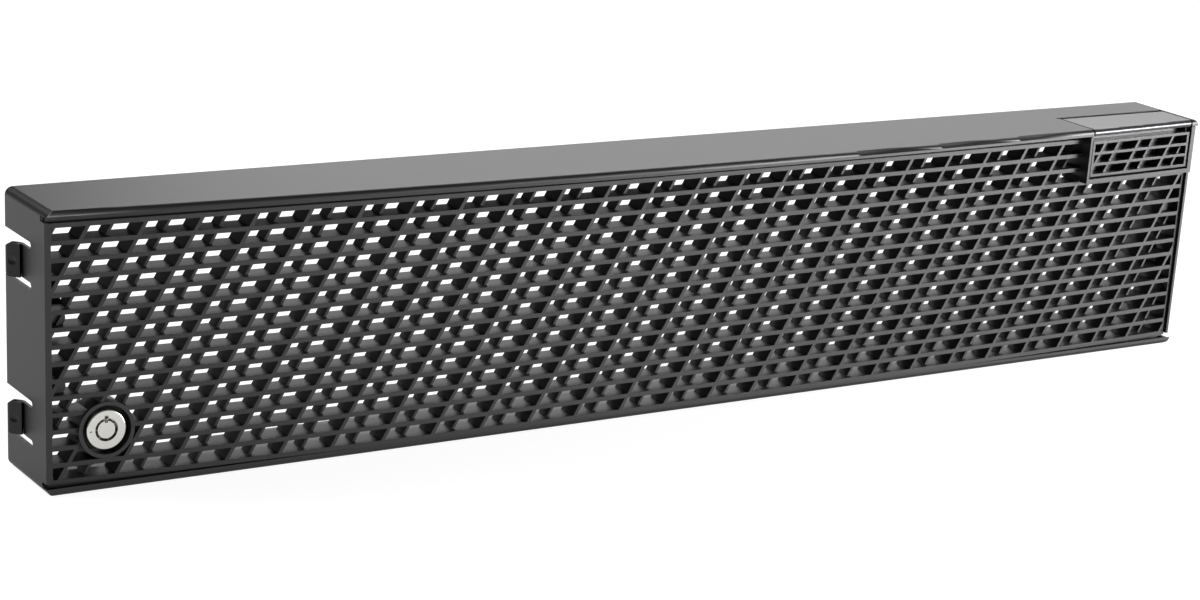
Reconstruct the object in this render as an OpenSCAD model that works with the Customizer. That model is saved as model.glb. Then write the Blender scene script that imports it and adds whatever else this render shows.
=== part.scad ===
// Server front bezel, two rack units high: a folded sheet shell, a bowed two-level
// grille, a lift-up corner flap and a tubular key lock.
//
// X runs along the width, -Y is the front, Z is up. The origin is on the floor,
// half way along the width, in the plane of the rear edges that meet the chassis.

/* [Overall size] */
// Width over the two side walls
body_w = 450.6; // [440:0.2:470]
// Height over the top and bottom walls, two rack units less the gap
body_h = 87; // [84:0.5:88.5]
// Depth of the side walls, rear edge to front edge
side_depth = 30.9; // [28:0.1:36]

/* [Sheet shell] */
// Sheet thickness
sheet_t = 1.0; // [0.8:0.1:1.2]
// Outer radius of the four bends that run front to back
side_bend_r = 2.5; // [1.8:0.1:4]
// Outer radius of the bend along each front lip
lip_bend_r = 1.5; // [1.3:0.1:2]
// Height of each front lip
lip_h = 2.4; // [2:0.1:3]
// Top lip, out from the side walls at the ends
top_lip_out = 1.8; // [1:0.1:3]
// How much further the top lip bows out at the middle
top_bow = 7.1; // [2:0.1:10]
// Bottom lip, out from the side walls, straight
bottom_lip_out = 1.1; // [0.6:0.1:3]
// How far the top and bottom walls wrap down past the side bends in front
nose_wrap = 2.0; // [1.6:0.1:2.4]
// Length and height of the relief cut at each front corner
relief_l = 3.2; // [2:0.1:5]
relief_h = 1.7; // [1:0.1:3]

/* [Spring clips] */
// Height of a clip arm
clip_h = 10.1; // [7:0.1:14]
// Width of the slot on each side of an arm
clip_slot = 2.15; // [1.4:0.05:3]
// Distance of each clip centre from the middle of the height
clip_offset = 24.35; // [16:0.05:28]
// Slot length from the rear edge
clip_slot_l = 20.3; // [16:0.1:24]
// Length of the arm that stays in the plane of the wall
clip_flat_l = 7.8; // [5:0.1:10]
// Outward angle of the arm's tip
clip_angle = 44; // [30:1:50]
// Length of the slanted run before the hem
clip_run = 2.3; // [2:0.1:4]
// Length of the hem that is folded back outside
clip_hem = 3.6; // [3:0.1:5]
// Open gap inside the hem
clip_hem_gap = 0.8; // [0.4:0.1:1]
// Radius of the clip's rear corners
clip_corner_r = 2.0; // [1:0.1:3]
// Depth of the dimple pressed in the hem
dimple_depth = 0.45; // [0.2:0.05:0.6]

/* [Grille] */
// Rows of openings
row_count = 15; // [10:1:18]
// Centre of the top bar below the top face
top_bar_drop = 4.86; // [4.2:0.02:6]
// Centre of the bottom bar above the bottom face
bottom_bar_rise = 3.69; // [3.4:0.01:5]
// Front face height of a bar
bar_t = 1.45; // [1:0.05:2]
// Spacing of the slanted ribs along the width
rib_pitch = 17.7; // [12:0.1:24]
// Width of a slanted rib, measured along the bar
rib_w = 1.35; // [0.8:0.05:2]
// Lean of the ribs from upright
rib_lean = 30; // [15:1:40]
// How much the grille bows out at the middle
grille_bow = 5.2; // [2:0.1:8]
// Grille front behind the side walls' front edges at the ends
grille_inset = 1.1; // [0.5:0.1:3]
// Depth of the bars and the main ribs
grille_depth = 7.9; // [5:0.1:10]
// How far the second level of ribs is set back
second_level = 2.6; // [1.5:0.1:5]
// Width of a second-level rib
second_w = 1.0; // [0.8:0.05:1.6]
// Width of the end bars
end_bar_w = 1.2; // [1:0.1:3]

/* [Corner flap] */
// Width of the flap
flap_w = 49.8; // [36:0.1:70]
// Bottom of the flap below the top face
flap_drop = 17.6; // [15:0.1:22]
// Gap between the flap and what is round it
flap_gap = 0.7; // [0.4:0.05:0.8]
// Wall of the surround on the left of the flap
surround_t = 1.1; // [0.9:0.1:2]
// Wall of the surround below the flap
sill_t = 1.6; // [1:0.1:2]
// Wall of the surround on the right, next to the side wall
right_cheek_t = 1.9; // [1.6:0.1:2.4]
// Hinge line ahead of the rear edges
hinge_y = 17.3; // [14:0.1:18]
// Hinge barrel radius, which is also how deep the pin lies
barrel_r = 2.3; // [2.1:0.1:2.6]
// Hinge pin diameter
hinge_pin_d = 1.2; // [1:0.1:1.4]
// Opening rows in the flap's own small grille
flap_rows = 3; // [2:1:4]
// Depth of the small grille, front to closed back
flap_grille_depth = 5; // [3.5:0.1:6]

/* [Lock] */
// Lock axis in from the left side wall
lock_inset = 19.1; // [17:0.1:24]
// Lock axis above the bottom face
lock_z = 18.5; // [16:0.1:26]
// Diameter of the bright head
lock_head_d = 12.6; // [11:0.1:13]
// Outer diameter of the ring round the head
lock_ring_d = 17.8; // [16.5:0.1:20]
// Wall of that ring
lock_ring_t = 1.2; // [0.8:0.1:1.6]
// Depth of the well the head stands in
lock_well = 3.2; // [2.5:0.1:4]
// Length of the lock from its face to the end of its barrel
lock_len = 15.6; // [14:0.1:17]
// Barrel diameter
lock_barrel_d = 10.6; // [9.6:0.1:11]
// Diameter of the key groove
groove_d = 7.2; // [6.8:0.1:8]
// Diameter of the centre post
post_d = 5.5; // [5:0.1:5.8]
// Reach of the cam from the lock axis
cam_reach = 16.6; // [12:0.1:16.8]

/* [Hidden] */
eps = 0.01;
past = 1;                // how far a cutter runs past what it cuts
$fn = 48;
arc_fn = 1440;           // for the long bowed arcs
half_w = body_w / 2;
inner_half_w = half_w - sheet_t;
seat_gap = 0.2;          // moulding to sheet
run_fit = 0.05;          // radial clearance of a turning fit

bar_pitch = (body_h - top_bar_drop - bottom_bar_rise) / row_count;
lean = tan(rib_lean);
grille_half_w = inner_half_w - seat_gap;
grille_end_y = -(side_depth - grille_inset);
grille_mid_y = grille_end_y - grille_bow;
rib_count = ceil((body_w + body_h * lean) / rib_pitch / 2);

top_lip_mid_y = -(side_depth + top_lip_out) - top_bow;
bottom_lip_y = -(side_depth + bottom_lip_out);
front_y = top_lip_mid_y - past;
rim_back = 2.0;          // rim set back from the bars, the dark line under the lip

clip_z = [body_h / 2 - clip_offset, body_h / 2 + clip_offset];
clip_bend_r = 1.5;

flap_right = grille_half_w - right_cheek_t - flap_gap;
flap_left = flap_right - flap_w;
flap_bottom = body_h - flap_drop;
surround_left = flap_left - flap_gap - surround_t;
surround_bottom = flap_bottom - flap_gap - sill_t;
surround_back_y = -22;
cheek_back_y = -hinge_y + 4;
cheek_drop = 9;          // height of the rear part of the cheeks
hinge_z = body_h - barrel_r;
seam_gap = 0.35;
seam_y = -hinge_y + barrel_r + seam_gap;
flap_skin = 1.5;
flap_wall = 1.0;
flap_rib_h = 3.4;        // ribs under the skin, back to the hinge barrel
flap_bar_t = 1.0;
flap_front_back = 0.4;   // small grille behind the lip's front
flap_top_bar_z = body_h - 5;
flap_bar_pitch = (flap_top_bar_z - flap_bottom - flap_bar_t / 2) / flap_rows;

lock_x = -half_w + lock_inset;
lock_y = arc_y(grille_mid_y, grille_bow, lock_x);
ring_proud = 0.3;
seat_boss = 0.5;         // flat seat for the washer, behind the bowed lattice
web_back_y = lock_y + grille_depth + seat_boss;
barrel_end_y = lock_y + lock_len;
barrel_af = lock_barrel_d - 1.2;
barrel_gap = 0.1;
washer_t = 0.7;
washer_d = lock_barrel_d + 5;
nut_t = 3.0;
nut_af = lock_barrel_d + 3.4;
groove_depth = 4.5;
plug_d = groove_d - 2 * run_fit;
pin_count = 7;
lock_pin_d = (plug_d - post_d) / 2 - 0.2;
pin_ring_r = (post_d + plug_d) / 4;
tail_af = 5;
stop_t = 0.8;
stop_d = 9.8;
stop_gap = 0.1;
nib_w = 1.2;
nib_h = 0.7;
cam_t = 1.6;
cam_w = 9;
cam_y = barrel_end_y + stop_gap + stop_t;
tail_end_y = cam_y + cam_t - 0.1;
cam_screw_d = 3;
cam_washer_d = 7.5;
cam_washer_t = 0.6;

screw_in = 4.2;          // screw centres in from the side walls
screw_x = inner_half_w - screw_in;
screw_rows = [floor(0.36 * row_count) + 0.5, floor(0.62 * row_count) + 0.5];
screw_d = 2.4;
screw_head_d = 5;
screw_head_h = 2;
screw_reach = 4.6;
boss_d = 5.4;
boss_l = 5;
bracket_w = 10;
bracket_y = arc_y(grille_mid_y, grille_bow, half_w) + grille_depth + seat_gap;
bracket_foot = 9;
bracket_leg = 7.4;
bracket_bend_r = 1.5;

steel_dark = [0.24, 0.24, 0.25];
moulded = [0.16, 0.16, 0.17];
nickel = [0.82, 0.82, 0.80];
zinc = [0.62, 0.63, 0.62];

// ---- bowed outlines -------------------------------------------------------------

// Radius of an arc that rises by bow over the whole width
function arc_r(bow) = (half_w * half_w + bow * bow) / (2 * bow);

// Y of that arc at x, with its most forward point at mid_y
function arc_y(mid_y, bow, x) = mid_y + arc_r(bow) - sqrt(pow(arc_r(bow), 2) - x * x);

// Plan area behind a bowed front line
module behind(mid_y, bow) {
    translate([0, mid_y + arc_r(bow)])
        circle(arc_r(bow), $fn = arc_fn);
}

// Upright slab between a bowed front and the same bow set back by depth
module bowed_slab(mid_y, bow, depth, x0, x1, z0, z1) {
    translate([0, 0, z0])
        linear_extrude(z1 - z0)
            difference() {
                intersection() {
                    behind(mid_y, bow);
                    translate([x0, mid_y - past])
                        square([x1 - x0, bow + depth + 2 * past]);
                }
                behind(mid_y + depth, bow);
            }
}

// Extrudes an outline drawn in X and Z from y0 forward to y1
module along_y(y0, y1) {
    translate([0, y0, 0])
        rotate([90, 0, 0])
            linear_extrude(y0 - y1)
                children();
}

// Cylinder along Y, from y0 forward to y1
module rod_y(d, y0, y1, fn = 48) {
    translate([0, y0, 0])
        rotate([90, 0, 0])
            cylinder(d = d, h = y0 - y1, $fn = fn);
}

// ---- shell ----------------------------------------------------------------------

// Rounded outline of the sleeve, set in by inset
module sleeve_outline(inset) {
    r = side_bend_r - inset;
    w = half_w - inset;
    h = body_h - 2 * inset;
    translate([0, inset]) {
        translate([-w, r]) square([2 * w, h - 2 * r]);
        translate([-w + r, 0]) square([2 * w - 2 * r, h]);
        for (x = [-w + r, w - r], z = [r, h - r])
            translate([x, z]) circle(r);
    }
}

// Folded walls all round
module sleeve() {
    along_y(0, -side_depth)
        difference() {
            sleeve_outline(0);
            sleeve_outline(sheet_t);
        }
}

// Band of the sleeve carried forward of the side walls, z0 to z1
module nose_band(y_front, z0, z1) {
    along_y(-side_depth + past, y_front)
        intersection() {
            difference() {
                sleeve_outline(0);
                sleeve_outline(sheet_t);
            }
            translate([-half_w, z0]) square([body_w, z1 - z0]);
        }
}

// Bend and lip in section: x is forward, y is up, the outer faces meet the axes
module lip_profile() {
    difference() {
        union() {
            translate([-lip_bend_r, -lip_bend_r]) circle(lip_bend_r);
            translate([-lip_bend_r - 0.5, -sheet_t]) square([0.5, sheet_t]);
        }
        translate([-lip_bend_r, -lip_bend_r]) circle(lip_bend_r - sheet_t);
        translate([-2 * lip_bend_r, -2 * lip_bend_r - eps])
            square([lip_bend_r, 2 * lip_bend_r - sheet_t + eps]);
        translate([-lip_bend_r - eps, -2 * lip_bend_r - past])
            square([lip_bend_r + past, lip_bend_r + past]);
    }
    translate([-sheet_t, -lip_h]) square([sheet_t, lip_h - lip_bend_r]);
}

// Sweeps a section along the bowed line that the top lip follows
module along_top_lip() {
    r = arc_r(top_bow);
    sweep = 2 * asin((half_w + past) / r);
    translate([0, top_lip_mid_y + r, body_h])
        rotate([0, 0, -90 - sweep / 2])
            rotate_extrude(angle = sweep, $fn = arc_fn)
                translate([r, 0]) children();
}

module top_lip() {
    intersection() {
        along_top_lip() lip_profile();
        along_y(past, top_lip_mid_y - past) sleeve_outline(0);
    }
}

module top_nose() {
    intersection() {
        nose_band(top_lip_mid_y, body_h - nose_wrap, body_h);
        translate([0, 0, body_h - nose_wrap - past])
            linear_extrude(nose_wrap + 2 * past)
                behind(top_lip_mid_y + lip_bend_r, top_bow);
    }
    top_lip();
}

module bottom_nose() {
    nose_band(bottom_lip_y + lip_bend_r, 0, nose_wrap);
    intersection() {
        translate([-half_w, bottom_lip_y, 0])
            rotate([90, 0, 90])
                linear_extrude(body_w)
                    rotate(180) lip_profile();
        along_y(past, bottom_lip_y - past) sleeve_outline(0);
    }
}

// Relief cut at the front end of each side wall, where lip and wall part
module corner_reliefs() {
    for (side = [-1, 1], z = [nose_wrap, body_h - nose_wrap - relief_h])
        translate([side * half_w - side_bend_r, -side_depth - past, z])
            cube([2 * side_bend_r, relief_l + past, relief_h]);
}

// Opening in the top wall and its lip that the flap fills
module flap_notch() {
    left = flap_left - flap_gap;
    slit_r = 0.8;
    translate([left, front_y, body_h - lip_h - past])
        cube([flap_right + flap_gap - left, seam_y - front_y, lip_h + 2 * past]);
    translate([left, seam_y - slit_r, body_h - sheet_t - past])
        cylinder(r = slit_r, h = sheet_t + 2 * past);
}

// ---- spring clips, drawn on the left wall ---------------------------------------

// The two slots and the window behind the arm's tip, in Y and Z
module clip_cutout() {
    reach = clip_h / 2 + clip_slot;
    flat_end = -clip_slot_l + clip_flat_l;
    for (side = [-1, 1])
        translate([0, side * (clip_h / 2 + clip_slot / 2)]) {
            translate([-clip_slot_l + clip_slot / 2, -clip_slot / 2])
                square([clip_slot_l + past, clip_slot]);
            translate([-clip_slot_l + clip_slot / 2, 0]) circle(d = clip_slot);
        }
    translate([flat_end, -reach]) square([-flat_end + past, 2 * reach]);
}

module ring_part(r_in, r_out, a0, a1) {
    far = 2 * r_out;
    intersection() {
        difference() {
            circle(r_out);
            circle(r_in);
        }
        polygon([[0, 0], far * [cos(a0), sin(a0)],
                 far * [cos((a0 + a1) / 2), sin((a0 + a1) / 2)],
                 far * [cos(a1), sin(a1)]]);
    }
}

// Slanted tip and its hem in plan: x along the run, y towards the arm's inner face
module hem_outline() {
    translate([-0.02, 0]) square([clip_run + 0.02, sheet_t]);
    translate([clip_run, -clip_hem_gap / 2])
        difference() {
            circle(clip_hem_gap / 2 + sheet_t);
            circle(clip_hem_gap / 2);
            translate([-clip_h, -clip_h]) square([clip_h, 2 * clip_h]);
        }
    translate([clip_run - clip_hem, -clip_hem_gap - sheet_t]) square([clip_hem, sheet_t]);
}

module clip_tip() {
    tip_l = clip_run + clip_hem_gap / 2 + sheet_t;
    dimple_r = 2.6;
    r = clip_corner_r;
    difference() {
        intersection() {
            translate([0, 0, -clip_h / 2]) linear_extrude(clip_h) hem_outline();
            translate([0, clip_hem, 0])
                rotate([90, 0, 0])
                    linear_extrude(2 * clip_hem) {
                        translate([-clip_hem, -clip_h / 2])
                            square([clip_hem + tip_l - r, clip_h]);
                        translate([-clip_hem, -clip_h / 2 + r])
                            square([clip_hem + tip_l, clip_h - 2 * r]);
                        for (z = [-1, 1])
                            translate([tip_l - r, z * (clip_h / 2 - r)]) circle(r);
                    }
        }
        translate([clip_run - clip_hem / 2 + 0.6,
                   -clip_hem_gap - sheet_t - dimple_r + dimple_depth, 0])
            sphere(dimple_r);
    }
}

// Whole arm beyond its root: in-plane run, bend, slanted tip with hem
module clip_arm() {
    flat_end = -clip_slot_l + clip_flat_l;
    centre = [-half_w - clip_bend_r, flat_end];
    translate([-half_w, -clip_slot_l - past, -clip_h / 2])
        cube([sheet_t, clip_flat_l + past, clip_h]);
    translate([centre.x, centre.y, -clip_h / 2])
        linear_extrude(clip_h)
            ring_part(clip_bend_r, clip_bend_r + sheet_t, 0, clip_angle);
    translate([centre.x + clip_bend_r * cos(clip_angle),
               centre.y + clip_bend_r * sin(clip_angle), 0])
        rotate([0, 0, clip_angle])
            rotate([0, 0, 90])
                mirror([0, 1, 0])
                    clip_tip();
}

module shell() {
    color(steel_dark) {
        difference() {
            union() {
                sleeve();
                top_nose();
                bottom_nose();
            }
            corner_reliefs();
            flap_notch();
            for (z = clip_z)
                translate([-half_w - past, 0, z])
                    rotate([90, 0, 90])
                        linear_extrude(body_w + 2 * past) clip_cutout();
        }
        for (z = clip_z, side = [0, 1])
            mirror([side, 0, 0])
                translate([0, 0, z]) clip_arm();
    }
}

// ---- grille ---------------------------------------------------------------------

function bar_z(i) = body_h - top_bar_drop - i * bar_pitch;

// Slanted strips of a given width across the grille, in X and Z
module slanted_strips(w, offset, z0, z1) {
    mid = body_h / 2;
    for (i = [-rib_count : rib_count])
        let (x = (i - 0.2) * rib_pitch + offset)
            if (abs(x) < half_w + (z1 - z0) * lean / 2)
                polygon([[x + (z0 - mid) * lean - w / 2, z0],
                         [x + (z0 - mid) * lean + w / 2, z0],
                         [x + (z1 - mid) * lean + w / 2, z1],
                         [x + (z1 - mid) * lean - w / 2, z1]]);
}

// Rounded outline of the moulding, a seat gap inside the sleeve
module moulding_outline() {
    sleeve_outline(sheet_t + seat_gap);
}

// Corner that the flap and its surround take out of the grille
module flap_corner() {
    translate([surround_left, surround_bottom]) square([body_w, body_h]);
}

// Bars, end bars and main ribs as seen from the front
module lattice_outline() {
    difference() {
        union() {
            for (i = [0 : row_count])
                translate([-grille_half_w, bar_z(i) - bar_t / 2])
                    square([2 * grille_half_w, bar_t]);
            for (x = [-grille_half_w, grille_half_w - end_bar_w])
                translate([x, bar_z(row_count)])
                    square([end_bar_w, bar_z(0) - bar_z(row_count)]);
            intersection() {
                slanted_strips(rib_w, 0, bar_z(row_count), bar_z(0));
                translate([-grille_half_w, 0]) square([2 * grille_half_w, body_h]);
            }
        }
        flap_corner();
    }
}

module lattice() {
    intersection() {
        along_y(0, front_y) lattice_outline();
        bowed_slab(grille_mid_y, grille_bow, grille_depth,
                   -half_w, half_w, 0, body_h);
    }
}

// Thin ribs half way between the main ribs, set back from the face
module second_ribs() {
    intersection() {
        along_y(0, front_y)
            difference() {
                intersection() {
                    slanted_strips(second_w, rib_pitch / 2, bar_z(row_count), bar_z(0));
                    translate([-grille_half_w + eps, 0])
                        square([2 * grille_half_w - 2 * eps, body_h]);
                }
                flap_corner();
            }
        bowed_slab(grille_mid_y + second_level, grille_bow, grille_depth - second_level - eps,
                   -half_w, half_w, 0, body_h);
    }
}

// Rim between the outer bars and the shell, set back to leave a dark line
module grille_rim() {
    opening_z0 = bar_z(row_count) - bar_t / 2 + 0.4;
    opening_z1 = bar_z(0) + bar_t / 2 - 0.4;
    opening_x = grille_half_w - end_bar_w + 0.3;
    intersection() {
        along_y(0, front_y)
            difference() {
                moulding_outline();
                translate([-opening_x, opening_z0])
                    square([2 * opening_x, opening_z1 - opening_z0]);
                flap_corner();
            }
        difference() {
            bowed_slab(grille_mid_y + rim_back, grille_bow, grille_depth - rim_back - 2 * eps,
                       -half_w, half_w, 0, body_h);
            translate([-half_w, front_y, -past])
                cube([body_w, bottom_lip_y + sheet_t + seat_gap - front_y,
                      lip_h + seat_gap + past]);
        }
    }
}

// Three-sided frame round the flap, flush with the top lip, with cheeks for its pin
module flap_surround() {
    left = flap_left - flap_gap;
    right = flap_right + flap_gap;
    lip_clear_y = -(side_depth - 4);
    intersection() {
        difference() {
            union() {
                along_y(surround_back_y, top_lip_mid_y)
                    difference() {
                        intersection() {
                            moulding_outline();
                            flap_corner();
                        }
                        translate([left, flap_bottom - flap_gap]) square([right - left, body_h]);
                    }
                along_y(cheek_back_y, surround_back_y - past)
                    intersection() {
                        moulding_outline();
                        union() {
                            translate([surround_left, body_h - cheek_drop])
                                square([left - surround_left, cheek_drop]);
                            translate([right, body_h - cheek_drop])
                                square([right_cheek_t, cheek_drop]);
                        }
                    }
            }
            translate([surround_left - past, top_lip_mid_y - past, body_h - lip_h - seat_gap])
                cube([body_w, lip_clear_y - top_lip_mid_y + past, lip_h]);
        }
        linear_extrude(body_h) behind(top_lip_mid_y, top_bow);
    }
}

// Bosses at the rear that take the screws, each in a window next to an end bar
module screw_bosses() {
    for (side = [-1, 1], row = screw_rows)
        translate([side * screw_x, 0, bar_z(row)])
            rod_y(boss_d, bracket_y, bracket_y - boss_l);
}

module screw_pilots() {
    for (side = [-1, 1], row = screw_rows)
        translate([side * screw_x, 0, bar_z(row)])
            rod_y(screw_d + 2 * run_fit, bracket_y + past, bracket_y - screw_reach - 0.2);
}

module flap_pin_holes() {
    translate([surround_left - past, -hinge_y, hinge_z])
        rotate([0, 90, 0])
            cylinder(d = hinge_pin_d + 2 * run_fit, h = grille_half_w - 0.4 - surround_left + past);
}

// Barrel section of the lock: a circle with two flats
module barrel_section(grow) {
    intersection() {
        circle(d = lock_barrel_d + 2 * grow);
        translate([-barrel_af / 2 - grow, -lock_barrel_d])
            square([barrel_af + 2 * grow, 2 * lock_barrel_d]);
    }
}

module grille() {
    color(moulded)
        difference() {
            union() {
                lattice();
                second_ribs();
                grille_rim();
                flap_surround();
                screw_bosses();
                translate([lock_x, 0, lock_z])
                    rod_y(lock_ring_d, web_back_y, lock_y - ring_proud, 96);
            }
            translate([lock_x, 0, lock_z]) {
                rod_y(lock_ring_d - 2 * lock_ring_t, lock_y + lock_well,
                      lock_y - ring_proud - past, 96);
                along_y(web_back_y + past, lock_y) barrel_section(barrel_gap);
            }
            screw_pilots();
            flap_pin_holes();
        }
}

// ---- brackets and screws that hold the grille in the shell ----------------------

// Angle bracket on the right wall, in plan, its leg behind the grille's boss
module bracket_section() {
    r = bracket_bend_r;
    translate([inner_half_w - sheet_t, bracket_y + r]) square([sheet_t, bracket_foot - r]);
    translate([inner_half_w - bracket_leg, bracket_y]) square([bracket_leg - r, sheet_t]);
    translate([inner_half_w - r, bracket_y + r]) ring_part(r - sheet_t, r, -90, 0);
}

module grille_brackets() {
    color(steel_dark)
        for (side = [0, 1], row = screw_rows)
            mirror([side, 0, 0])
                translate([0, 0, bar_z(row)])
                    difference() {
                        translate([0, 0, -bracket_w / 2])
                            linear_extrude(bracket_w) bracket_section();
                        translate([screw_x, 0, 0])
                            rod_y(screw_d + 0.6, bracket_y + sheet_t + past, bracket_y - past);
                    }
}

module grille_screws() {
    seat = bracket_y + sheet_t;
    color(steel_dark)
        for (side = [-1, 1], row = screw_rows)
            translate([side * screw_x, 0, bar_z(row)])
                difference() {
                    union() {
                        rod_y(screw_d, seat + past, seat - sheet_t - screw_reach);
                        rod_y(screw_head_d, seat + screw_head_h, seat);
                    }
                    rod_y(1.9, seat + screw_head_h + past, seat + 0.8, 6);
                }
}

// ---- corner flap ----------------------------------------------------------------

// Skin and hinge barrel seen from the side, in Y and Z
module flap_side_section() {
    front = top_lip_mid_y - past;
    translate([front, body_h - flap_skin]) square([-hinge_y - front, flap_skin]);
    translate([-hinge_y, hinge_z]) circle(barrel_r);
}

// Rounded nose along the flap's front, as high as the shell's lip
module flap_nose_profile() {
    top_edge = 0.01;     // leaves a faint edge where the round meets the flat top
    intersection() {
        translate([-lip_bend_r, -lip_bend_r + top_edge]) circle(lip_bend_r);
        translate([-2 * lip_bend_r, -lip_h]) square([2 * lip_bend_r, lip_h]);
    }
}

// Small grille of the flap as seen from the front
module flap_grille_outline() {
    h = flap_top_bar_z + flap_bar_t / 2 - flap_bottom;
    for (i = [0 : flap_rows])
        translate([flap_left, flap_top_bar_z - i * flap_bar_pitch - flap_bar_t / 2])
            square([flap_w, flap_bar_t]);
    for (x = [flap_left, flap_right - flap_wall])
        translate([x, flap_bottom]) square([flap_wall, h]);
    intersection() {
        slanted_strips(rib_w - 0.2, 0, flap_bottom, flap_top_bar_z);
        translate([flap_left, flap_bottom]) square([flap_w, h]);
    }
}

module flap_slab(front_set, depth, z0, z1) {
    bowed_slab(top_lip_mid_y + front_set, top_bow, depth, flap_left, flap_right, z0, z1);
}

// Closed back, side walls and ribs that join the small grille to the skin and barrel
module flap_box() {
    back = flap_front_back + flap_grille_depth + 0.4;
    front = lip_bend_r + 0.3;
    sunk = flap_skin / 2;
    flap_slab(back - flap_wall, flap_wall, flap_bottom, body_h - sunk);
    for (x = [flap_left, flap_right - flap_wall]) {
        bowed_slab(top_lip_mid_y + front, top_bow, back - front - flap_wall / 2,
                   x, x + flap_wall, flap_top_bar_z, body_h - sunk);
        translate([x, -side_depth + 1, body_h - flap_skin - flap_rib_h])
            cube([flap_wall, side_depth - hinge_y - 1, flap_rib_h + sunk]);
    }
}

module flap() {
    color(moulded)
        difference() {
            union() {
                intersection() {
                    translate([flap_left, 0, 0])
                        rotate([90, 0, 90])
                            linear_extrude(flap_w) flap_side_section();
                    linear_extrude(body_h + past)
                        behind(top_lip_mid_y + lip_bend_r, top_bow);
                }
                intersection() {
                    along_top_lip() flap_nose_profile();
                    translate([flap_left, top_lip_mid_y - past, 0])
                        cube([flap_w, side_depth, body_h + past]);
                }
                intersection() {
                    along_y(0, front_y) flap_grille_outline();
                    flap_slab(flap_front_back, flap_grille_depth, 0, body_h);
                }
                intersection() {
                    along_y(0, front_y)
                        intersection() {
                            slanted_strips(second_w, rib_pitch / 2, flap_bottom, flap_top_bar_z);
                            translate([flap_left + flap_wall / 2, flap_bottom + flap_bar_t / 2])
                                square([flap_w - flap_wall,
                                        flap_top_bar_z - flap_bottom - flap_bar_t / 2]);
                        }
                    flap_slab(flap_front_back + 1.6, flap_grille_depth - 1.8, 0, body_h);
                }
                flap_box();
            }
            translate([flap_left - past, -hinge_y, hinge_z])
                rotate([0, 90, 0])
                    cylinder(d = hinge_pin_d + 2 * run_fit, h = flap_w + 2 * past);
        }
}

module flap_hinge_pin() {
    color(zinc)
        translate([surround_left + 0.2, -hinge_y, hinge_z])
            rotate([0, 90, 0])
                cylinder(d = hinge_pin_d, h = grille_half_w - 0.5 - surround_left - 0.2);
}

// ---- lock -----------------------------------------------------------------------

module lock_housing() {
    edge = 0.5;
    color(nickel)
        translate([lock_x, 0, lock_z])
            difference() {
                union() {
                    translate([0, lock_y + lock_well, 0])
                        rotate([90, 0, 0])
                            rotate_extrude($fn = 96)
                                union() {
                                    square([lock_head_d / 2, lock_well - edge]);
                                    square([lock_head_d / 2 - edge, lock_well]);
                                    translate([lock_head_d / 2 - edge, lock_well - edge])
                                        circle(edge);
                                }
                    along_y(barrel_end_y, lock_y + lock_well - eps) barrel_section(0);
                }
                rod_y(groove_d, barrel_end_y + past, lock_y - past, 96);
                translate([-0.6, lock_y - past, groove_d / 2 - 0.5]) cube([1.2, past + 2, 1.6]);
                translate([-(lock_head_d + groove_d) / 4, 0, 0])
                    rod_y(0.8, lock_y + 0.4, lock_y - past, 24);
                along_y(barrel_end_y + past, barrel_end_y - nib_h - 0.2)
                    ring_part(groove_d / 2 + 0.3, stop_d / 2 - 0.2, -116, 26);
            }
}

module lock_plug() {
    color(nickel)
        translate([lock_x, 0, lock_z])
            difference() {
                union() {
                    rod_y(post_d, lock_y + groove_depth + past, lock_y + 0.15, 96);
                    rod_y(plug_d, barrel_end_y, lock_y + groove_depth, 96);
                    along_y(tail_end_y, barrel_end_y - past)
                        translate([-tail_af / 2, -tail_af / 2]) square(tail_af);
                }
                for (i = [0 : pin_count - 1])
                    rotate([0, i * 360 / pin_count + 25, 0])
                        translate([pin_ring_r, 0, 0])
                            rod_y(lock_pin_d + 0.1, lock_y + groove_depth + 3.2,
                                  lock_y + groove_depth - eps, 24);
                translate([-0.5, lock_y - past, post_d / 2 - 0.6]) cube([1, past + 1.6, 1]);
                rod_y(cam_screw_d + 2 * run_fit, tail_end_y + past, tail_end_y - 6.3);
            }
}

module lock_pins() {
    color(zinc)
        translate([lock_x, 0, lock_z])
            for (i = [0 : pin_count - 1])
                rotate([0, i * 360 / pin_count + 25, 0])
                    translate([pin_ring_r, 0, 0])
                        rod_y(lock_pin_d, lock_y + groove_depth + 3, lock_y + 0.8, 24);
}

module lock_washer() {
    teeth = 12;
    color(zinc)
        translate([lock_x, 0, lock_z])
            along_y(web_back_y + washer_t, web_back_y)
                difference() {
                    circle(d = washer_d, $fn = 96);
                    circle(d = lock_barrel_d + 0.3, $fn = 96);
                    for (i = [0 : teeth - 1])
                        rotate(i * 360 / teeth)
                            translate([lock_barrel_d / 2, -0.5]) square([1.3, 1]);
                }
}

module lock_nut() {
    color(zinc)
        translate([lock_x, 0, lock_z])
            difference() {
                rod_y(nut_af / cos(30), web_back_y + washer_t + nut_t, web_back_y + washer_t, 6);
                rod_y(lock_barrel_d + 0.1, web_back_y + washer_t + nut_t + past,
                      web_back_y + washer_t - past, 96);
            }
}

// Square hole of what sits on the plug's tail
module tail_hole() {
    side = tail_af + 0.1;
    translate([-side / 2, -side / 2]) square(side);
}

module lock_stop_disc() {
    front = barrel_end_y + stop_gap;
    color(zinc)
        translate([lock_x, 0, lock_z])
            difference() {
                union() {
                    rod_y(stop_d, front + stop_t, front, 96);
                    translate([groove_d / 2 + 0.45, front - nib_h, -nib_w / 2])
                        cube([stop_d / 2 - 0.35 - groove_d / 2 - 0.45, nib_h + eps, nib_w]);
                }
                along_y(front + stop_t + past, front - past) tail_hole();
            }
}

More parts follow.
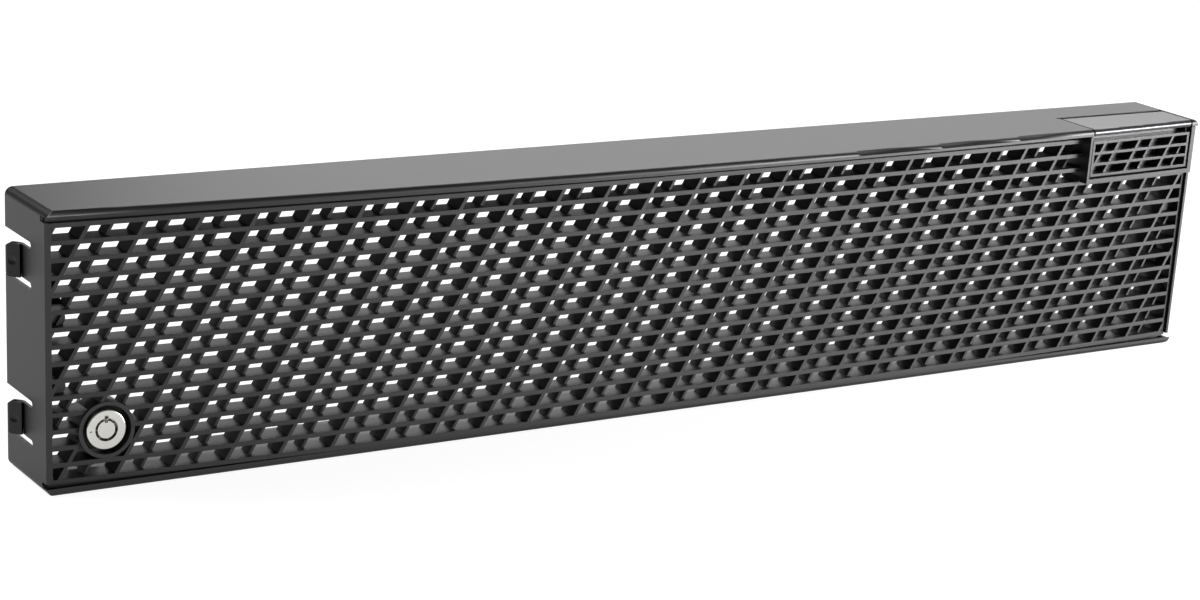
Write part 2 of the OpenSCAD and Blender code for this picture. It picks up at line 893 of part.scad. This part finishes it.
// Cam seen from the rear, hanging down from the plug's tail
module lock_cam() {
    tip_r = 2.2;
    color(zinc)
        translate([lock_x, 0, lock_z])
            along_y(cam_y + cam_t, cam_y)
                difference() {
                    union() {
                        circle(d = cam_w);
                        translate([-cam_w / 2, -cam_reach + tip_r])
                            square([cam_w, cam_reach - tip_r]);
                        translate([-cam_w / 2 + tip_r, -cam_reach])
                            square([cam_w - 2 * tip_r, tip_r + past]);
                        for (x = [-1, 1])
                            translate([x * (cam_w / 2 - tip_r), -cam_reach + tip_r])
                                circle(tip_r);
                    }
                    tail_hole();
                }
}

module cam_washer() {
    color(zinc)
        translate([lock_x, 0, lock_z])
            difference() {
                rod_y(cam_washer_d, cam_y + cam_t + cam_washer_t, cam_y + cam_t);
                rod_y(cam_screw_d + 0.3, cam_y + cam_t + cam_washer_t + past, cam_y);
            }
}

module cam_screw() {
    seat = cam_y + cam_t + cam_washer_t;
    color(zinc)
        translate([lock_x, 0, lock_z])
            difference() {
                union() {
                    rod_y(cam_screw_d, seat + past, tail_end_y - 6);
                    rod_y(5.6, seat + 2.2, seat);
                }
                for (a = [0, 90])
                    rotate([0, a, 0])
                        translate([-1.5, seat + 1, -0.4]) cube([3, 2, 0.8]);
            }
}

shell();
grille();
grille_brackets();
grille_screws();
flap();
flap_hinge_pin();
lock_housing();
lock_plug();
lock_pins();
lock_washer();
lock_nut();
lock_stop_disc();
lock_cam();
cam_washer();
cam_screw();
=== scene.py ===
# %% [markdown]
# # A server front bezel
# This lesson dresses the solid model of a rack server's front cover. The solids come from
# CAD and keep their shape and place. Blender gives each one the surface that the real piece
# has: powder-coated steel, moulded plastic, bright nickel, zinc plate.
#
# Every length is in metres. MM turns millimetres into metres, so that sizes can be written
# the way a maker would say them.

# %% Load the solids
import bpy
from mathutils import Matrix, Vector


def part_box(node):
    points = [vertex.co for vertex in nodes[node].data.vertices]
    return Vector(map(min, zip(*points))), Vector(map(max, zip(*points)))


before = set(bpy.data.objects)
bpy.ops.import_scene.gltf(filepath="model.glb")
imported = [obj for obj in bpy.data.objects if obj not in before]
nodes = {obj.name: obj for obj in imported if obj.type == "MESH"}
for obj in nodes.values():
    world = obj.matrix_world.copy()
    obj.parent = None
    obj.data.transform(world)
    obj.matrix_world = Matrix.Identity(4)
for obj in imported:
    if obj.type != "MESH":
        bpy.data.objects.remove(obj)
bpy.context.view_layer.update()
MM = 0.001
print("nodes:", sorted(nodes))


# %% [markdown]
# ## Three small helpers
# Colours are picked as the hex values that a screen shows, but a renderer works in linear
# light. One function turns the first into the second. A second adds a shader node, sets its
# values and makes its links, so that a material reads as a short recipe. A third starts a
# material with nothing but a shader in it.

# %% Colour and node helpers
def linear(hex_colour):
    """An sRGB hex colour as linear light, with full alpha."""
    parts = [int(hex_colour[i:i + 2], 16) / 255 for i in (1, 3, 5)]
    return [c / 12.92 if c <= 0.04045 else ((c + 0.055) / 1.055) ** 2.4 for c in parts] + [1.0]


def add(tree, kind, inputs=None, **settings):
    """Adds a node. Settings are its own properties. Inputs are numbers, colours or sockets."""
    node = tree.nodes.new("ShaderNode" + kind)
    for name, value in settings.items():
        setattr(node, name, value)
    for name, value in (inputs or {}).items():
        socket = node.inputs[name]
        if isinstance(value, bpy.types.NodeSocket):
            tree.links.new(value, socket)
        else:
            socket.default_value = value
    return node


def new_material(name):
    """A material with a shader and its output. Returns material, tree and shader."""
    material = bpy.data.materials.new(name)
    material.use_nodes = True
    tree = material.node_tree
    tree.nodes.clear()
    shader = add(tree, "BsdfPrincipled")
    add(tree, "OutputMaterial", {"Surface": shader.outputs["BSDF"]})
    return material, tree, shader


print("a mid grey in linear light:", [round(c, 3) for c in linear("#808080")])


# %% [markdown]
# ## Where the camera stands
# The cover is seen from its front left and from a little above, through a long lens, so the
# far end is only a little smaller than the near one. The lens is slid off centre (lens
# shift), as a product photographer does, which keeps the uprights nearly upright. The camera
# is placed by its position and by the directions of its own right-hand side and top.

# %% The camera
CAMERA_PLACE = (-518.8, -778.15, 289.55)    # mm
CAMERA_RIGHT = (0.83068, -0.55266, 0.06737)
CAMERA_UP = (0.13196, 0.31299, 0.94055)
SENSOR_WIDTH = 36                           # mm
FOCAL_LENGTH = 84.17                        # mm
LENS_SHIFT = (-0.0687, 0.1648)              # in picture widths
FARTHEST_SEEN = 20                          # m

camera_data = bpy.data.cameras.new("camera")
camera = bpy.data.objects.new("camera", camera_data)
bpy.context.scene.collection.objects.link(camera)
bpy.context.scene.camera = camera
camera_data.sensor_width = SENSOR_WIDTH
camera_data.lens = FOCAL_LENGTH
camera_data.shift_x, camera_data.shift_y = LENS_SHIFT
camera_data.clip_end = FARTHEST_SEEN

right = Vector(CAMERA_RIGHT)
up = Vector(CAMERA_UP)
axes = Matrix((right, up, right.cross(up))).transposed().to_4x4()
camera.matrix_world = Matrix.Translation(Vector(CAMERA_PLACE) * MM) @ axes
print("camera is", round(camera.location.length, 3), "m from the frame's origin")

# %% [markdown]
# ## The floor
# The cover stands on its bottom wall on a white sweep of paper. Paper is matt, so a diffuse
# surface with almost no gloss does it. To the camera, part of the paper is a white glow, as
# in a catalogue picture where the background is pure white. The soft shadow where the cover
# stands is kept, because the rest is still lit paper. What glossy surfaces see has a smaller
# part of that glow. It brightens the lock's nickel and the lower edges.

# %% The floor
FLOOR_SIZE = 12         # m
FLOOR_CENTRE = (0, 2.0, 0)
PAPER_GLOW = 1.72       # strength of the white glow
CAMERA_SHARE = 0.5      # share of the glow in what the camera sees
MIRROR_SHARE = 0.2      # share of it in what glossy surfaces see

bpy.ops.mesh.primitive_plane_add(size=FLOOR_SIZE, location=FLOOR_CENTRE)
floor = bpy.context.object
floor.name = "paper_floor"

paper, tree, shader = new_material("white_paper")
shader.inputs["Base Color"].default_value = linear("#f7f7f6")
shader.inputs["Roughness"].default_value = 0.9
shader.inputs["Specular IOR Level"].default_value = 0.1
glow = add(tree, "Emission", {"Color": linear("#ffffff"), "Strength": PAPER_GLOW})
path = add(tree, "LightPath")
to_camera = add(tree, "Math", {0: path.outputs["Is Camera Ray"], 1: CAMERA_SHARE},
                operation="MULTIPLY")
share = add(tree, "Math", {0: path.outputs["Is Glossy Ray"], 1: MIRROR_SHARE,
                           2: to_camera.outputs["Value"]}, operation="MULTIPLY_ADD")
mix = add(tree, "MixShader", {"Fac": share.outputs["Value"], 1: shader.outputs["BSDF"],
                              2: glow.outputs["Emission"]})
tree.links.new(mix.outputs["Shader"], tree.nodes["Material Output"].inputs["Surface"])
floor.data.materials.append(paper)
print("floor at z =", floor.location.z)

# %% [markdown]
# ## The light
# The surroundings glow only faintly, so that the recesses of the grille stay dark, and the
# camera sees them as pure white. Three area lamps do the rest:
#
# - A broad soft box high behind the right end. The cover's top mirrors it towards the camera,
#   more and more of it from left to right.
# - A small soft box low on the right in front. It makes the fronts of the bars brighter
#   towards that end.
# - A weak lamp over the paper behind the left end, which the left wall mirrors.

# %% The light
STUDIO_GLOW = 0.12       # strength of the surroundings as a light
LAMPS = (                # name, place (m), aimed at (m), width and height (m), watts
    ("soft_box_rear", (1.6, 1.7, 1.14), (0.1, 0, 0.05), (2.3, 1.2), 23),
    ("soft_box_right", (0.8, -0.65, 0.14), (0.0, -0.03, 0.04), (0.4, 0.2), 16),
    ("backdrop_light", (-0.7, 0.5, 0.8), (-0.6, 0.35, 0), (0.8, 0.6), 6),
)

world = bpy.data.worlds.new("white_studio")
bpy.context.scene.world = world
world.use_nodes = True
tree = world.node_tree
sky = tree.nodes["Background"]
sky.inputs["Color"].default_value = linear("#ffffff")
sky.inputs["Strength"].default_value = STUDIO_GLOW
white = add(tree, "Background", {"Color": linear("#ffffff"), "Strength": 1.0})
path = add(tree, "LightPath")
mix = add(tree, "MixShader", {"Fac": path.outputs["Is Camera Ray"],
                              1: sky.outputs["Background"],
                              2: white.outputs["Background"]})
tree.links.new(mix.outputs["Shader"], tree.nodes["World Output"].inputs["Surface"])


def soft_box(name, place, target, size, watts):
    """A rectangular area lamp at place, turned to face target."""
    data = bpy.data.lights.new(name, "AREA")
    data.shape = "RECTANGLE"
    data.size, data.size_y = size
    data.energy = watts
    lamp = bpy.data.objects.new(name, data)
    bpy.context.scene.collection.objects.link(lamp)
    place, target = Vector(place), Vector(target)
    lamp.rotation_euler = (target - place).to_track_quat("-Z", "Y").to_euler()
    lamp.location = place


for lamp_settings in LAMPS:
    soft_box(*lamp_settings)

# %% [markdown]
# ## Powder-coated steel
# The sleeve is thin steel sheet, folded and then powder coated in a dark grey. Powder melts
# and flows in the oven, but never quite flat: it keeps a fine orange peel, here about 0.6 mm
# from crest to crest. The coat is a plastic film, so it isn't metallic and has the usual
# index of refraction of 1.5.


# %% The coated sleeve
PLASTIC_IOR = 1.5


def fine_bump(tree, vector, step, depth, strength):
    """A noise bump with crests about one step apart."""
    noise = add(tree, "TexNoise", {"Vector": vector, "Scale": 1 / step, "Detail": 3.0})
    return add(tree, "Bump", {"Height": noise.outputs["Fac"], "Distance": depth,
                              "Strength": strength})


def tinted(tree, vector, step, dark, light):
    """A base colour that drifts softly between two close greys, about a step from one on."""
    noise = add(tree, "TexNoise", {"Vector": vector, "Scale": 1 / step, "Detail": 2.0})
    mix = add(tree, "Mix", {"Factor": noise.outputs["Fac"], "A": linear(dark),
                            "B": linear(light)}, data_type="RGBA")
    return mix.outputs["Result"]


def coated_steel(name, dark, light, roughness):
    material, tree, shader = new_material(name)
    place = add(tree, "TexCoord").outputs["Object"]
    orange_peel = fine_bump(tree, place, 0.6 * MM, 0.01 * MM, 0.6)
    tree.links.new(orange_peel.outputs["Normal"], shader.inputs["Normal"])
    tree.links.new(tinted(tree, place, 40 * MM, dark, light), shader.inputs["Base Color"])
    shader.inputs["Roughness"].default_value = roughness
    shader.inputs["IOR"].default_value = PLASTIC_IOR
    return material


STEEL_COAT = coated_steel("powder_coated_steel", "#131315", "#19191b", roughness=0.42)
print("made", STEEL_COAT.name)

# %% [markdown]
# ## Moulded plastic
# The grille is one injection moulding in dark grey plastic. Its mould was spark eroded, which
# leaves a fine even grain. The grain is drawn 0.35 mm from crest to crest, coarser than in
# life, so that it shows. The edges of a moulding are never sharp: a rounding of 0.15 mm
# catches the light on each bar. The flap is moulded in a lighter and smoother grey. The small
# black parts at the rear get the same recipe, because their powder and lacquer are thin
# plastic films that round the edges too.


# %% The moulded plastic
def satin_plastic(name, dark, light, roughness):
    """A moulding or a plastic film with a fine grain and softly rounded edges."""
    material, tree, shader = new_material(name)
    place = add(tree, "TexCoord").outputs["Object"]
    soft_edge = add(tree, "Bevel", {"Radius": 0.15 * MM}, samples=4)
    grain = fine_bump(tree, place, 0.35 * MM, 0.008 * MM, 0.5)
    tree.links.new(soft_edge.outputs["Normal"], grain.inputs["Normal"])
    tree.links.new(grain.outputs["Normal"], shader.inputs["Normal"])
    tree.links.new(tinted(tree, place, 25 * MM, dark, light), shader.inputs["Base Color"])
    shader.inputs["Roughness"].default_value = roughness
    shader.inputs["IOR"].default_value = PLASTIC_IOR
    return material


GRILLE_PLASTIC = satin_plastic("moulded_plastic_grille", "#18181a", "#1d1d1f", roughness=0.5)
FLAP_PLASTIC = satin_plastic("moulded_plastic_flap", "#2a2a2d", "#313134", roughness=0.3)
BRACKET_COAT = satin_plastic("black_powder_coat", "#161617", "#1c1c1d", roughness=0.45)
SCREW_COAT = satin_plastic("black_coated_screws", "#131313", "#191919", roughness=0.35)
print("made", GRILLE_PLASTIC.name, "and", FLAP_PLASTIC.name)

# %% [markdown]
# ## Plated metals
# The lock is a turned zinc alloy body with a bright nickel plate. Metal has no body colour:
# what it shows is its surroundings, tinted. The turning tool leaves fine rings round the
# axis. They are drawn with a wave texture in rings about the lock's own axis, much coarser
# than in life. The parts behind are zinc plated, which has a soft and slightly cloudy sheen.


# %% The plated metals
RING_SCALE = 200        # a wave texture's crests are 2 pi / (20 x scale) apart, so 1.6 mm
ROUGHNESS_SPREAD = (-0.06, 0.1)


def ringed_metal(name, tone, centre, roughness):
    """A plated metal with faint turning marks round an axis that runs along Y."""
    material, tree, shader = new_material(name)
    place = add(tree, "TexCoord").outputs["Object"]
    local = add(tree, "Mapping", {"Vector": place, "Location": [-c for c in centre],
                                  "Scale": (1, 0.001, 1)})
    rings = add(tree, "TexWave", {"Vector": local.outputs["Vector"], "Scale": RING_SCALE,
                                  "Distortion": 0.0}, wave_type="RINGS", rings_direction="Y")
    bump = add(tree, "Bump", {"Height": rings.outputs["Fac"], "Distance": 0.004 * MM,
                              "Strength": 0.3})
    tree.links.new(bump.outputs["Normal"], shader.inputs["Normal"])
    shader.inputs["Base Color"].default_value = linear(tone)
    shader.inputs["Metallic"].default_value = 1.0
    shader.inputs["Roughness"].default_value = roughness
    return material


def plated_metal(name, tone, roughness):
    """A plated or bare metal with a soft sheen and cloudy patches about 2.5 mm across."""
    material, tree, shader = new_material(name)
    place = add(tree, "TexCoord").outputs["Object"]
    clouds = add(tree, "TexNoise", {"Vector": place, "Scale": 1 / (2.5 * MM), "Detail": 3.0})
    smoothest, roughest = (roughness + change for change in ROUGHNESS_SPREAD)
    spread = add(tree, "MapRange", {"Value": clouds.outputs["Fac"], "To Min": smoothest,
                                    "To Max": roughest})
    tree.links.new(spread.outputs["Result"], shader.inputs["Roughness"])
    bump = fine_bump(tree, place, 0.3 * MM, 0.004 * MM, 0.4)
    tree.links.new(bump.outputs["Normal"], shader.inputs["Normal"])
    shader.inputs["Base Color"].default_value = linear(tone)
    shader.inputs["Metallic"].default_value = 1.0
    return material


head_low, head_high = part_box("lock_housing")
lock_centre = (head_low + head_high) / 2
NICKEL = ringed_metal("bright_nickel", "#f2f1ec", lock_centre, roughness=0.2)
NICKEL_NUT = plated_metal("nickel_plated_nut", "#cfcfca", roughness=0.3)
ZINC = plated_metal("zinc_plated_steel", "#c4c8c8", roughness=0.35)
PIN_STEEL = plated_metal("ground_steel_pin", "#bdbdba", roughness=0.28)
PIN_SILVER = plated_metal("turned_nickel_silver_pins", "#a39e92", roughness=0.35)
print("lock axis at", [round(c / MM, 1) for c in lock_centre], "mm")

# %% [markdown]
# ## Give each piece its surface
# Each solid keeps its shape and takes one material.

# %% Dress the solids
FINISH = {
    "shell": STEEL_COAT,
    "grille": GRILLE_PLASTIC,
    "flap": FLAP_PLASTIC,
    "flap_hinge_pin": PIN_STEEL,
    "lock_housing": NICKEL,
    "lock_plug": NICKEL,
    "lock_pins": PIN_SILVER,
    "lock_washer": ZINC,
    "lock_nut": NICKEL_NUT,
    "lock_stop_disc": ZINC,
    "lock_cam": ZINC,
    "cam_washer": ZINC,
    "cam_screw": ZINC,
    "grille_brackets": BRACKET_COAT,
    "grille_screws": SCREW_COAT,
}
for name, material in FINISH.items():
    mesh = nodes[name].data
    mesh.materials.clear()
    mesh.materials.append(material)
print("dressed", len(FINISH), "of", len(nodes), "solids")

# %% [markdown]
# ## Picture settings
# The Standard view shows a colour as it is written.

# %% Finish
bpy.context.scene.view_settings.view_transform = "Standard"
